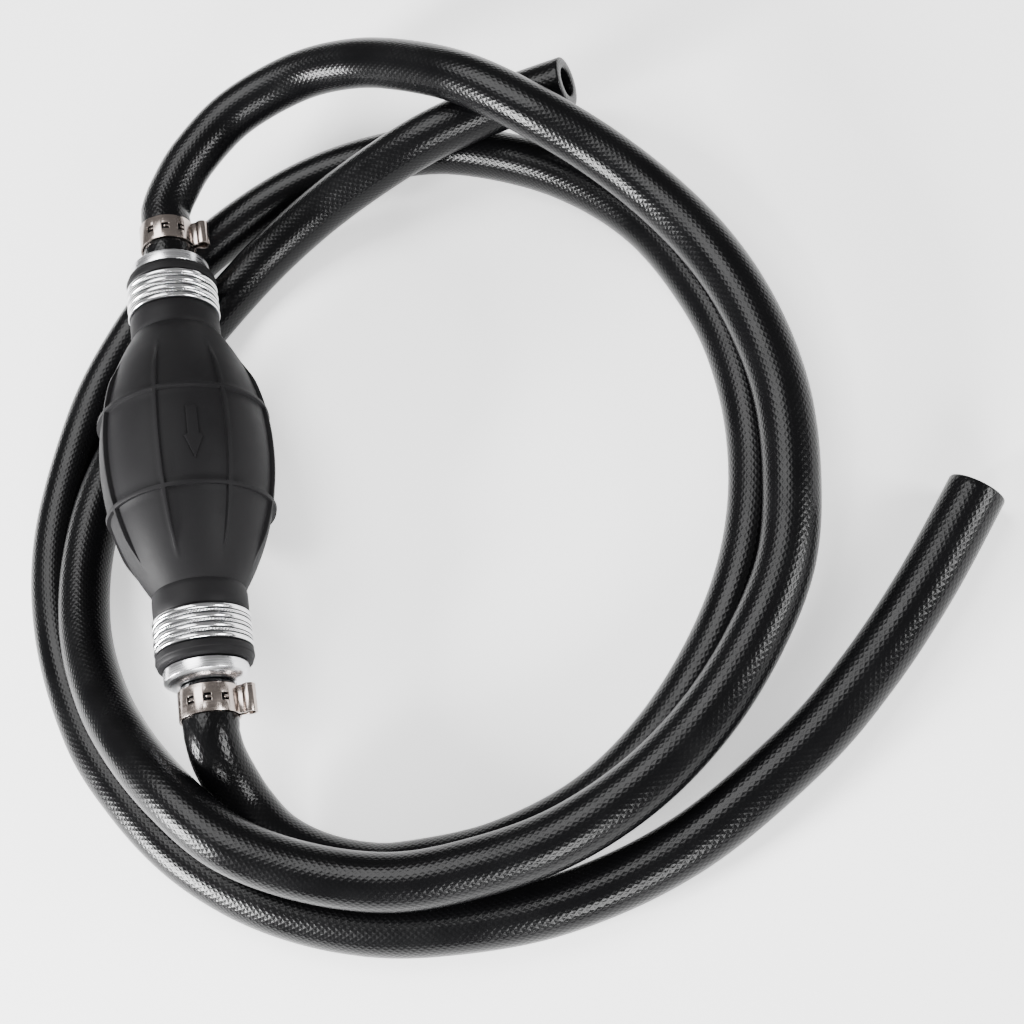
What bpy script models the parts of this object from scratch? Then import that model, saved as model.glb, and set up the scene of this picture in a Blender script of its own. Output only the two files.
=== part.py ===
"""Hand-squeezed siphon bulb with two hoses, built as separate pieces.

Frame: the origin is the middle of the bulb on the flow axis, +Y runs along the
flow axis towards the inlet, and +Z is up. Water flows from +Y to -Y. The hoses
lie on a floor that is AXIS_HEIGHT below the flow axis.
"""
import math

import bmesh
import bpy
from mathutils import Vector
from mathutils.geometry import interpolate_bezier

MM = 0.001
GAP = 0.3 * MM
WELD = 0.001 * MM
SMOOTH_ANGLE = math.radians(35.0)

# Floor and hoses.
AXIS_HEIGHT = 29.0 * MM
HOSE_RADIUS = 7.5 * MM
HOSE_STRETCHED_BORE = 4.9 * MM
HOSE_POINT_SPACING = 24.0 * MM
HOSE_BEVEL_RESOLUTION = 4

# Bulb: places along the flow axis, measured from the middle.
BULB_RADIUS = 24.8 * MM
BULB_WALL = 3.0 * MM
BULGE_POWER = 2.1
BULGE_POINTS = 15
CREASE_Y = 41.0 * MM
NECK_RADIUS = 13.2 * MM
CRIMPED_RADIUS = 12.6 * MM
FERRULE_START_Y = 49.0 * MM
FERRULE_END_Y = 59.0 * MM
FERRULE_WALL = 0.8 * MM
LIP_END_Y = 63.2 * MM
LIP_RADIUS = 12.9 * MM
NECK_BORE_RADIUS = 9.2 * MM

# Turned fitting.
SPIGOT_RADIUS = NECK_BORE_RADIUS - GAP
SPIGOT_START_Y = 45.0 * MM
FLANGE_START_Y = LIP_END_Y + GAP
FLANGE_END_Y = 68.0 * MM
FLANGE_RADIUS = 11.7 * MM
CHAMBER_RADIUS = 6.3 * MM
CHAMBER_END_Y = 57.0 * MM
BARB_START_Y = 69.0 * MM
BARB_END_Y = 79.0 * MM
BARB_ROOT_RADIUS = 4.0 * MM
BARB_TIP_RADIUS = 4.6 * MM
BARB_COUNT = 3
BARB_BORE_RADIUS = 3.0 * MM
SEAL_GROOVE_START_Y = 46.5 * MM
SEAL_GROOVE_END_Y = 48.3 * MM
SEAL_GROOVE_RADIUS = 7.5 * MM
SEAL_SECTION_RADIUS = 0.55 * MM
SEAL_SECTION_SEGMENTS = 10

# Check valve, measured downstream from the front of its seat.
SEAT_THICKNESS = 1.6 * MM
SEAT_HOLE_RADIUS = 3.4 * MM
POPPET_NOSE_START = 0.4 * MM
POPPET_NOSE_RADIUS = 1.6 * MM
POPPET_HEAD_RADIUS = 4.7 * MM
POPPET_HEAD_THICKNESS = 1.4 * MM
POPPET_STEM_RADIUS = 0.9 * MM
POPPET_STEM_END = 10.7 * MM
SPRING_START = 3.9 * MM
SPRING_END = 9.4 * MM
SPRING_RADIUS = 2.3 * MM
SPRING_WIRE_RADIUS = 0.25 * MM
SPRING_TURNS = 4
SPRING_POINTS_PER_TURN = 12
GUIDE_START = 10.0 * MM
GUIDE_THICKNESS = 1.2 * MM
GUIDE_HOLE_RADIUS = 1.2 * MM
GUIDE_PORT_RADIUS = 1.3 * MM
GUIDE_PORT_CIRCLE = 3.9 * MM
GUIDE_PORTS = 5
GUIDE_CUT_DEPTH = 4.0 * MM

# Ear clamps: the middle of each band along the flow axis.
INLET_CLAMP_Y = 78.0 * MM
OUTLET_CLAMP_Y = -74.0 * MM
CLAMP_WIDTH = 8.0 * MM
CLAMP_THICKNESS = 0.6 * MM
CLAMP_MEAN_RADIUS = HOSE_RADIUS + GAP + CLAMP_THICKNESS / 2.0
EAR_DIRECTION = math.radians(-15.0)
EAR_NECK_HALF_WIDTH = 1.0 * MM
EAR_LOOP_RADIUS = 1.7 * MM
EAR_LOOP_HEIGHT = 2.9 * MM
EAR_LOOP_POINTS = 11
BAND_POINTS = 40
SUCTION_CUFF_END_Y = 84.0 * MM
DISCHARGE_CUFF_END_Y = 80.0 * MM

ROUND_SEGMENTS = 40
SMALL_SEGMENTS = 28

# Hose routes in millimetres: x, y and height above the floor.
SUCTION_ROUTE = (
    (0, 84.3, 29),
    (0, 88.3, 29),
    (3.5, 96, 28.5),
    (11.5, 106.5, 28),
    (27, 118, 27),
    (50, 121.5, 28),
    (71, 115, 31.5),
    (90, 102, 36),
    (107, 87, 39),
    (123, 70.5, 36.9),
    (138, 54.5, 30.5),
    (151, 36, 25.5),
    (161, 15.5, 23),
    (167, -6, 21.5),
    (169, -29, 20),
    (166, -52, 18.5),
    (159, -74, 18),
    (146, -93, 18.5),
    (130, -109, 19.5),
    (111, -121.5, 21),
    (89, -129.5, 22),
    (66, -132, 22.5),
    (44, -131, 24),
    (22, -124, 27.5),
    (2.5, -112.5, 31.5),
    (-13, -96, 32),
    (-27, -78, 27.5),
    (-38, -59, 22),
    (-45, -37, 17),
    (-45.5, -14, 13.5),
    (-40, 8, 11),
    (-30, 28, 8),
    (-15, 46, 7.5),
    (2, 60, 7.5),
    (22, 72.5, 9),
    (43, 80, 13),
    (65, 83.5, 18.5),
    (88, 85.5, 23.2),
    (111, 87.5, 23),
    (133, 85, 25.5),
)
DISCHARGE_ROUTE = (
    (0, -80.3, 29),
    (0, -82.3, 29),
    (0, -88, 26.5),
    (0.5, -94, 21.5),
    (2.5, -101, 17),
    (8, -110, 13.5),
    (17.5, -117.5, 10.5),
    (30, -123, 8.2),
    (43, -125.5, 7.5),
    (68, -126, 7.5),
    (94, -120, 7.5),
    (116, -107, 7.5),
    (135, -88, 7.5),
    (149, -66, 7.5),
    (157, -41, 7.5),
    (159, -14, 7.5),
    (155, 12, 7.5),
    (142.5, 43, 7.5),
    (120.5, 69.5, 7.5),
    (90, 90, 7.5),
    (64, 97, 7.5),
    (38, 97, 7.5),
    (12, 90, 7.5),
    (-11, 78, 7.5),
    (-30, 60, 7.5),
    (-45, 38, 7.5),
    (-58.5, 2, 7.5),
    (-60, -31, 7.5),
    (-52, -64, 7.5),
    (-39.5, -87, 7.5),
    (-23, -107.5, 7.5),
    (-2, -124, 7.5),
    (22, -135.5, 7.5),
    (47, -141.5, 7.5),
    (81, -143, 7.5),
    (116, -136, 7.5),
    (149, -120, 7.5),
    (170, -105, 7.5),
    (190, -86.5, 7.5),
    (209, -65.5, 7.5),
)


def clear_scene():
    for obj in list(bpy.data.objects):
        bpy.data.objects.remove(obj, do_unlink=True)


def make_material(name, color, roughness, metallic=0.0):
    material = bpy.data.materials.new(name)
    material.use_nodes = True
    surface = material.node_tree.nodes["Principled BSDF"]
    surface.inputs["Base Color"].default_value = (*color, 1.0)
    surface.inputs["Roughness"].default_value = roughness
    surface.inputs["Metallic"].default_value = metallic
    return material


def add_object(name, data, look):
    """Link one named object that has its own copy of a look."""
    obj = bpy.data.objects.new(name, data)
    data.materials.append(make_material(name, *look))
    bpy.context.collection.objects.link(obj)
    return obj


def solid_from_bmesh(name, bm, look):
    bmesh.ops.recalc_face_normals(bm, faces=bm.faces)
    if bm.calc_volume(signed=True) < 0.0:
        bmesh.ops.reverse_faces(bm, faces=bm.faces)
    mesh = bpy.data.meshes.new(name)
    bm.to_mesh(mesh)
    bm.free()
    mesh.shade_smooth()
    mesh.set_sharp_from_angle(angle=SMOOTH_ANGLE)
    return add_object(name, mesh, look)


def turned(name, outline, look, segments=ROUND_SEGMENTS):
    """Turn an outline of (y, radius) points about the flow axis.

    An outline that starts and ends on the axis gives a full solid, and any
    other outline is closed and gives a ring or a tube.
    """
    bm = bmesh.new()
    verts = [bm.verts.new((radius, y, 0.0)) for y, radius in outline]
    edges = [bm.edges.new(pair) for pair in zip(verts, verts[1:])]
    on_axis = outline[0][1] == 0.0 and outline[-1][1] == 0.0
    if not on_axis:
        edges.append(bm.edges.new((verts[-1], verts[0])))
    bmesh.ops.spin(
        bm,
        geom=verts + edges,
        cent=(0.0, 0.0, 0.0),
        axis=(0.0, 1.0, 0.0),
        angle=2.0 * math.pi,
        steps=segments,
        use_merge=True,
    )
    bmesh.ops.remove_doubles(bm, verts=bm.verts, dist=WELD)
    return solid_from_bmesh(name, bm, look)


def mirrored(outline, side):
    """Put an outline given in distances from the middle on one side of it."""
    return [(side * y, radius) for y, radius in outline]


def bulge_radius(y):
    share = min(1.0, abs(y) / CREASE_Y)
    return NECK_RADIUS + (BULB_RADIUS - NECK_RADIUS) * (1.0 - share**BULGE_POWER)


def build_bulb():
    """Blow-moulded rubber bulb: a belly, two necks and a lip past each ferrule."""
    end = [
        (FERRULE_START_Y - GAP, NECK_RADIUS),
        (FERRULE_START_Y - GAP, CRIMPED_RADIUS),
        (FERRULE_END_Y + GAP, CRIMPED_RADIUS),
        (FERRULE_END_Y + GAP, LIP_RADIUS),
        (LIP_END_Y, LIP_RADIUS),
        (LIP_END_Y, NECK_BORE_RADIUS),
    ]
    places = [CREASE_Y * (2.0 * i / (BULGE_POINTS - 1) - 1.0) for i in range(BULGE_POINTS)]
    outer = [(y, bulge_radius(y)) for y in places]
    inner = [(y, bulge_radius(y) - BULB_WALL) for y in places]
    outline = mirrored(end, -1)[::-1] + outer + end + inner[::-1]
    turned("squeeze_bulb", outline, ((0.055, 0.053, 0.056), 0.55))


def build_fitting(name, side):
    """Turned fitting: spigot with the valve chamber, flange and hose barb."""
    outline = [
        (SPIGOT_START_Y, CHAMBER_RADIUS),
        (SPIGOT_START_Y, SPIGOT_RADIUS),
        (SEAL_GROOVE_START_Y, SPIGOT_RADIUS),
        (SEAL_GROOVE_START_Y, SEAL_GROOVE_RADIUS),
        (SEAL_GROOVE_END_Y, SEAL_GROOVE_RADIUS),
        (SEAL_GROOVE_END_Y, SPIGOT_RADIUS),
        (FLANGE_START_Y, SPIGOT_RADIUS),
        (FLANGE_START_Y, FLANGE_RADIUS),
        (FLANGE_END_Y, FLANGE_RADIUS),
        (FLANGE_END_Y, BARB_ROOT_RADIUS),
    ]
    pitch = (BARB_END_Y - BARB_START_Y) / BARB_COUNT
    for i in range(BARB_COUNT):
        ridge = BARB_START_Y + i * pitch
        outline.append((ridge, BARB_ROOT_RADIUS))
        outline.append((ridge, BARB_TIP_RADIUS))
    outline.append((BARB_END_Y, BARB_ROOT_RADIUS))
    outline.append((BARB_END_Y, BARB_BORE_RADIUS))
    outline.append((CHAMBER_END_Y, BARB_BORE_RADIUS))
    outline.append((CHAMBER_END_Y, CHAMBER_RADIUS))
    turned(name, mirrored(outline, side), ((0.86, 0.86, 0.88), 0.3, 1.0), SMALL_SEGMENTS)


def build_ferrule(name, side):
    inner = CRIMPED_RADIUS + GAP
    outer = inner + FERRULE_WALL
    outline = [
        (FERRULE_START_Y, inner),
        (FERRULE_START_Y, outer),
        (FERRULE_END_Y, outer),
        (FERRULE_END_Y, inner),
    ]
    turned(name, mirrored(outline, side), ((0.9, 0.9, 0.91), 0.25, 1.0))


def build_seal_ring(name, side):
    middle_y = side * (SEAL_GROOVE_START_Y + SEAL_GROOVE_END_Y) / 2.0
    middle_radius = (SEAL_GROOVE_RADIUS + NECK_BORE_RADIUS) / 2.0
    outline = []
    for i in range(SEAL_SECTION_SEGMENTS):
        turn = 2.0 * math.pi * i / SEAL_SECTION_SEGMENTS
        y = middle_y + SEAL_SECTION_RADIUS * math.cos(turn)
        outline.append((y, middle_radius + SEAL_SECTION_RADIUS * math.sin(turn)))
    turned(name, outline, ((0.01, 0.01, 0.01), 0.5), SMALL_SEGMENTS)


def build_valve(prefix, seat_y):
    """Check valve whose poppet opens towards -Y, downstream of its seat."""

    def placed(outline):
        return [(seat_y - along, radius) for along, radius in outline]

    seat_radius = CHAMBER_RADIUS - GAP
    seat = [
        (0.0, SEAT_HOLE_RADIUS),
        (0.0, seat_radius),
        (SEAT_THICKNESS, seat_radius),
        (SEAT_THICKNESS, SEAT_HOLE_RADIUS),
    ]
    turned(prefix + "_valve_seat", placed(seat), ((0.7, 0.55, 0.3), 0.35, 1.0), SMALL_SEGMENTS)

    head_start = SEAT_THICKNESS + GAP
    head_end = head_start + POPPET_HEAD_THICKNESS
    poppet = [
        (POPPET_NOSE_START, 0.0),
        (POPPET_NOSE_START, POPPET_NOSE_RADIUS),
        (head_start, SEAT_HOLE_RADIUS - GAP),
        (head_start, POPPET_HEAD_RADIUS),
        (head_end, POPPET_HEAD_RADIUS),
        (head_end, POPPET_STEM_RADIUS),
        (POPPET_STEM_END, POPPET_STEM_RADIUS),
        (POPPET_STEM_END, 0.0),
    ]
    turned(prefix + "_valve_poppet", placed(poppet), ((0.8, 0.8, 0.76), 0.45), SMALL_SEGMENTS)
    build_guide(prefix + "_valve_guide", seat_y - GUIDE_START)
    build_spring(prefix + "_valve_spring", seat_y)


def add_drill(bm, radius, centre):
    """Add one closed cylinder along the flow axis to a cutter."""
    ring = bmesh.ops.create_circle(bm, cap_ends=True, radius=radius, segments=SMALL_SEGMENTS // 2)
    face = ring["verts"][0].link_faces[0]
    grown = bmesh.ops.extrude_face_region(bm, geom=[face])
    top = [item for item in grown["geom"] if isinstance(item, bmesh.types.BMVert)]
    bmesh.ops.translate(bm, verts=top, vec=(0.0, 0.0, GUIDE_CUT_DEPTH))
    every = ring["verts"] + top
    bmesh.ops.translate(bm, verts=every, vec=(0.0, 0.0, -GUIDE_CUT_DEPTH / 2.0))
    for vert in every:
        vert.co = Vector((vert.co.x, -vert.co.z, vert.co.y)) + centre


def build_guide(name, start_y):
    """Disc that holds the spring and guides the stem, with flow ports round it."""
    radius = CHAMBER_RADIUS - GAP
    disc = [(start_y, 0.0), (start_y, radius)]
    disc += [(start_y - GUIDE_THICKNESS, radius), (start_y - GUIDE_THICKNESS, 0.0)]
    guide = turned(name, disc, ((0.75, 0.75, 0.72), 0.5), SMALL_SEGMENTS)

    middle_y = start_y - GUIDE_THICKNESS / 2.0
    bm = bmesh.new()
    add_drill(bm, GUIDE_HOLE_RADIUS, Vector((0.0, middle_y, 0.0)))
    for i in range(GUIDE_PORTS):
        turn = 2.0 * math.pi * i / GUIDE_PORTS
        x = GUIDE_PORT_CIRCLE * math.cos(turn)
        z = GUIDE_PORT_CIRCLE * math.sin(turn)
        add_drill(bm, GUIDE_PORT_RADIUS, Vector((x, middle_y, z)))
    cutter = solid_from_bmesh(name + "_cutter", bm, ((0.5, 0.5, 0.5), 0.5))
    cutter.hide_render = True
    cutter.display_type = "WIRE"
    cut = guide.modifiers.new("ports", "BOOLEAN")
    cut.object = cutter
    cut.operation = "DIFFERENCE"


def tube_along(name, points, radius, resolution, look):
    """Closed round tube through the given points."""
    curve = bpy.data.curves.new(name, "CURVE")
    curve.dimensions = "3D"
    curve.bevel_depth = radius
    curve.bevel_resolution = resolution
    curve.use_fill_caps = True
    spline = curve.splines.new("POLY")
    spline.points.add(len(points) - 1)
    for slot, point in zip(spline.points, points):
        slot.co = (*point, 1.0)
    return add_object(name, curve, look)


def build_spring(name, seat_y):
    count = SPRING_TURNS * SPRING_POINTS_PER_TURN
    points = []
    for i in range(count + 1):
        turn = 2.0 * math.pi * i / SPRING_POINTS_PER_TURN
        along = SPRING_START + (SPRING_END - SPRING_START) * i / count
        x = SPRING_RADIUS * math.cos(turn)
        z = SPRING_RADIUS * math.sin(turn)
        points.append(Vector((x, seat_y - along, z)))
    tube_along(name, points, SPRING_WIRE_RADIUS, 1, ((0.7, 0.7, 0.72), 0.25, 1.0))


def ear_clamp_path():
    """Middle line of the band and its pinched ear, round the flow axis."""
    path = []
    neck_turn = math.asin(EAR_NECK_HALF_WIDTH / CLAMP_MEAN_RADIUS)
    span = 2.0 * (math.pi - neck_turn)
    for i in range(BAND_POINTS + 1):
        turn = neck_turn + span * i / BAND_POINTS
        path.append((CLAMP_MEAN_RADIUS * math.cos(turn), CLAMP_MEAN_RADIUS * math.sin(turn)))
    centre = CLAMP_MEAN_RADIUS + EAR_LOOP_HEIGHT
    opening = math.asin(EAR_NECK_HALF_WIDTH / EAR_LOOP_RADIUS)
    sweep = 2.0 * (math.pi - opening)
    for i in range(EAR_LOOP_POINTS):
        turn = math.pi + opening + sweep * i / (EAR_LOOP_POINTS - 1)
        path.append((centre + EAR_LOOP_RADIUS * math.cos(turn), EAR_LOOP_RADIUS * math.sin(turn)))
    return [Vector(point) for point in path]


def build_ear_clamp(name, middle_y):
    """Spring-steel ear clamp: one ribbon round the hose, looped into an ear."""
    path = ear_clamp_path()
    count = len(path)
    sides = []
    for i, point in enumerate(path):
        along = (path[(i + 1) % count] - path[i - 1]).normalized()
        outward = Vector((along.y, -along.x)) * (CLAMP_THICKNESS / 2.0)
        sides.append((point + outward, point - outward))
    turn_cos = math.cos(EAR_DIRECTION)
    turn_sin = math.sin(EAR_DIRECTION)
    bm = bmesh.new()
    rings = []
    for y in (middle_y - CLAMP_WIDTH / 2.0, middle_y + CLAMP_WIDTH / 2.0):
        for which in (0, 1):
            ring = []
            for pair in sides:
                point = pair[which]
                x = point.x * turn_cos - point.y * turn_sin
                z = point.x * turn_sin + point.y * turn_cos
                ring.append(bm.verts.new((x, y, z)))
            rings.append(ring)
    near_out, near_in, far_out, far_in = rings
    loops = ((near_out, far_out), (far_out, far_in), (far_in, near_in), (near_in, near_out))
    for first, second in loops:
        for i in range(count):
            j = (i + 1) % count
            bm.faces.new((first[i], first[j], second[j], second[i]))
    solid_from_bmesh(name, bm, ((0.78, 0.76, 0.74), 0.25, 1.0))


def build_cuff(name, side, end_y):
    """Stretch of hose that is pushed over the barb."""
    outline = [
        (FLANGE_END_Y + GAP, HOSE_STRETCHED_BORE),
        (FLANGE_END_Y + GAP, HOSE_RADIUS),
        (end_y, HOSE_RADIUS),
        (end_y, HOSE_STRETCHED_BORE),
    ]
    turned(name, mirrored(outline, side), ((0.02, 0.02, 0.022), 0.35), SMALL_SEGMENTS)


def smooth_route(route):
    """Points on a smooth curve through the route: a straight start, then even steps."""
    floor = Vector((0.0, 0.0, AXIS_HEIGHT))
    points = [Vector(place) * MM - floor for place in route]
    dense = []
    last = len(points) - 1
    for i in range(1, last):
        before = points[i - 1]
        after = points[min(i + 2, last)]
        handle_out = points[i] + (points[i + 1] - before) / 6.0
        handle_in = points[i + 1] - (after - points[i]) / 6.0
        dense += interpolate_bezier(points[i], handle_out, handle_in, points[i + 1], 12)[:-1]
    dense.append(points[last])
    lengths = [0.0]
    for first, second in zip(dense, dense[1:]):
        lengths.append(lengths[-1] + (second - first).length)
    count = round(lengths[-1] / HOSE_POINT_SPACING)
    even = [points[0]]
    k = 0
    for i in range(count + 1):
        wanted = lengths[-1] * i / count
        while k < len(lengths) - 2 and lengths[k + 1] < wanted:
            k += 1
        share = (wanted - lengths[k]) / (lengths[k + 1] - lengths[k])
        even.append(dense[k].lerp(dense[k + 1], share))
    return even


def build_hose(name, route):
    look = ((0.02, 0.02, 0.022), 0.35)
    tube_along(name, smooth_route(route), HOSE_RADIUS, HOSE_BEVEL_RESOLUTION, look)


def build_end(prefix, hose, side, clamp_y, cuff_end_y):
    build_fitting(prefix + "_barb_fitting", side)
    build_ferrule(prefix + "_crimp_ferrule", side)
    build_seal_ring(prefix + "_seal_ring", side)
    build_cuff(hose + "_hose_cuff", side, cuff_end_y)
    build_ear_clamp(hose + "_ear_clamp", clamp_y)


def main():
    clear_scene()
    build_bulb()
    build_end("inlet", "suction", 1, INLET_CLAMP_Y, SUCTION_CUFF_END_Y)
    build_end("outlet", "discharge", -1, OUTLET_CLAMP_Y, DISCHARGE_CUFF_END_Y)
    build_valve("inlet", CHAMBER_END_Y - GAP)
    build_valve("outlet", -SPIGOT_START_Y - GAP)
    build_hose("suction_hose", SUCTION_ROUTE)
    build_hose("discharge_hose", DISCHARGE_ROUTE)


main()
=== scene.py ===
"""Hand-started siphon: a squeeze bulb with two check valves and two braided hoses.

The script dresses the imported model. The flow axis is Y, the inlet is at +Y, and
the hoses lie on a floor that is FLOOR_Z below the axis. Lengths are in metres.
"""

import math

import bpy
import numpy as np
from bpy.props import FloatProperty
from bpy.props import FloatVectorProperty
from bpy.props import IntProperty
from bpy.props import PointerProperty
from mathutils import Matrix
from mathutils import Vector
from mathutils.geometry import interpolate_bezier


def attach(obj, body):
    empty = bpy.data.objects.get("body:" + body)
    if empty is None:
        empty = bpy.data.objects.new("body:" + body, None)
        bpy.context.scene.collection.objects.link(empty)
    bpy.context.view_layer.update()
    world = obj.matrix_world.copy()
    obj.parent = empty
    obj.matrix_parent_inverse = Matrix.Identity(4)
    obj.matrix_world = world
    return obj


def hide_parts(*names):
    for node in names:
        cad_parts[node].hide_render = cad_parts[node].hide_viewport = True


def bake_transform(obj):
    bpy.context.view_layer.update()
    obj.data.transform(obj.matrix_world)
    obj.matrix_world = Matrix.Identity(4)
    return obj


bl_info = {
    "name": "Siphon bulb and hoses",
    "version": (1, 0, 0),
    "blender": (4, 5, 0),
    "location": "View3D > Sidebar > Siphon",
    "description": "Models the visible pieces of a hand-squeezed aquarium siphon",
    "category": "Object",
}

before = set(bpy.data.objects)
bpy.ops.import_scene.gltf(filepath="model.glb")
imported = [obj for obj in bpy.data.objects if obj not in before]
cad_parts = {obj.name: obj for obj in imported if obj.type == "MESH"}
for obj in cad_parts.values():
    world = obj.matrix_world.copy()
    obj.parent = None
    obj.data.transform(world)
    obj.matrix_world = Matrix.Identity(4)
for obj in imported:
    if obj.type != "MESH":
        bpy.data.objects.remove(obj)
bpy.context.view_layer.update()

MM = 0.001
FLOOR_Z = -29.0 * MM
ORIGIN = (0.0, 0.0, 0.0)
FLOW_AXIS = (0.0, 1.0, 0.0)
FULL_TURN = 2.0 * math.pi
WELD = 0.001 * MM
SPECK = 0.1 * MM

# Hoses.
HOSE_RADIUS = 7.5 * MM
HOSE_START_Y = 68.3 * MM
BARB_BORE = 4.95 * MM
RING_STEP = 2.0 * MM
CURVE_STEPS = 24
BORE_RING_EVERY = 3
EDGE_ROUNDING = 0.5 * MM
EDGE_MIDDLE = 0.3 * EDGE_ROUNDING
BULGE_NEAR_BAND = 0.18 * MM
BULGE_LENGTH = 2.2 * MM
BORE_EASE = 6.0 * MM
STRANDS_ROUND = 30.0
STRANDS_PER_METRE = 480.0

# Bulb.
BULB_RADIUS = 24.8 * MM
BULB_WALL = 3.0 * MM
BULGE_POWER = 2.1
CREASE_Y = 41.0 * MM
NECK_RADIUS = 13.2 * MM
NECK_BORE = 9.2 * MM
NECK_BORE_START_Y = 40.0 * MM
CRIMPED_RADIUS = 12.6 * MM
LIP_RADIUS = 12.9 * MM
CAVITY_END_Y = 38.0 * MM
CAVITY_ROWS = 25
RIB_COUNT = 8
RING_RIB_Y = 15.0 * MM
RIB_MIDDLE_Y = -2.3 * MM
RIB_TURN = math.radians(11.0)
RIB_WIDTH = 1.3 * MM
RIB_END_Y = 33.0 * MM
RIB_FADE_LENGTH = 9.0 * MM
RIB_HALF_STEPS = 0.6
RIB_SIDE = 0.12 * MM
BELLY_ROWS = 12
RIM_ROWS = 8
SHOULDER_ROWS = 5

# Rows of the neck and of the lip in millimetres: place along the axis, and how far
# the row stands off NECK_RADIUS or LIP_RADIUS.
NECK_ROWS = ((41.35, -0.3), (41.8, -0.05), (43.0, 0.1), (46.0, 0.1), (48.2, 0.0), (48.7, -0.3))
LIP_ROWS = (
    (59.3, 0.35),
    (59.6, 0.6),
    (61.2, 0.7),
    (61.5, 0.4),
    (61.8, 0.4),
    (62.7, 0.1),
    (63.2, -0.5),
)

# Flow arrow on the bulb.
ARROW_LENGTH = 16.0 * MM
ARROW_TAIL_Y = 5.5 * MM
ARROW_THICKNESS = 1.0 * MM
SHAFT_LENGTH = 9.0 * MM
SHAFT_HALF_WIDTH = 1.5 * MM
HEAD_HALF_WIDTH = 2.75 * MM
TIP_HALF_WIDTH = 0.15 * MM

# Ferrules and turned fittings.
FERRULE_START_Y = 49.0 * MM
FERRULE_BORE = 12.9 * MM
FERRULE_RIDGE_RADIUS = 13.72 * MM
FERRULE_VALLEY_RADIUS = 13.2 * MM
FERRULE_KNURL_RADIUS = 13.5 * MM
RIDGE_WIDTH = 1.6 * MM
KNURL_WIDTH = 0.68 * MM
KNURL_DEPTH = 0.14 * MM
KNURL_EDGE = 0.19 * MM
VALLEY_WIDTH = 0.26 * MM
GROOVE_MARGIN = 0.1 * MM
RIDGES = 4
RIDGE_PROFILE = ((0.0, 0.0), (0.1, 0.6), (0.3, 0.95), (0.5, 1.0), (0.7, 0.95), (0.9, 0.6))

# Ear clamps.
SUCTION_CLAMP_Y = 78.0 * MM
DISCHARGE_CLAMP_Y = -74.0 * MM
CLAMP_WIDTH = 8.0 * MM
CLAMP_THICKNESS = 0.6 * MM
CLAMP_RADIUS = 8.1 * MM
EAR_DIRECTION = math.radians(-15.0)
EAR_NECK = 1.0 * MM
EAR_LOOP_RADIUS = 1.7 * MM
EAR_LOOP_HEIGHT = 2.9 * MM
BAND_STEPS = 72
EAR_STEPS = 20
HOOK_LENGTH = 2.2 * MM
HOOK_WIDTH = 2.1 * MM
HOOK_CUT_DEPTH = 4.0 * MM
HOOK_TURNS = (math.radians(-8.0), math.radians(26.0), math.radians(60.0))

# Valve springs. A seat's front is where its valve starts, and the flow runs towards -Y.
INLET_SEAT_Y = 56.7 * MM
OUTLET_SEAT_Y = -45.3 * MM
SPRING_START = 3.9 * MM
SPRING_LENGTH = 5.5 * MM
SPRING_RADIUS = 2.3 * MM
SPRING_TURNS = 4
SPRING_STEPS_PER_TURN = 36
WIRE_RADIUS = 0.25 * MM
WIRE_SIDES = 12

# Colours of the hidden pieces, and the grey painted as shade into the ferrule grooves.
HOSE_WALL_BLACK = (0.016, 0.0155, 0.016)
GROOVE_PAINTED_SHADE = (0.1, 0.1, 0.105)
FITTING_ALUMINIUM = (0.86, 0.86, 0.88)
SEAL_BLACK = (0.012, 0.012, 0.012)
SEAT_BRASS = (0.78, 0.58, 0.27)
WIRE_STEEL = (0.7, 0.7, 0.71)
POPPET_WHITE = (0.82, 0.82, 0.79)
GUIDE_GREY = (0.24, 0.25, 0.26)
WHITE = (1.0, 1.0, 1.0, 1.0)

# Patterns: the useful part of a noise, and how rough its finer waves are.
NOISE_LOW = 0.3
NOISE_HIGH = 0.7
NOISE_ROUGHNESS = 0.55

# Stage. A light has a name, a place, the sides of its panel and its power.
FLOOR_SIZE = 8.0
FLOOR_DROP = 0.05 * MM
SURROUND_STRENGTH = 0.24
LIT_POINT = (0.07, -0.02, 0.0)
LIGHTS = (
    ("Right softbox", (0.95, -0.3, 0.34), (0.4, 0.3), 10.0),
    ("Front softbox", (0.1, -0.95, 0.38), (0.45, 0.3), 12.0),
    ("Overhead softbox", (-0.15, 0.45, 1.2), (0.8, 0.8), 19.0),
    ("Left softbox", (-0.75, -0.3, 0.32), (0.2, 0.36), 32.0),
)
CAMERA_TARGET = (85.75 * MM, -31.5 * MM, FLOOR_Z)

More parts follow.
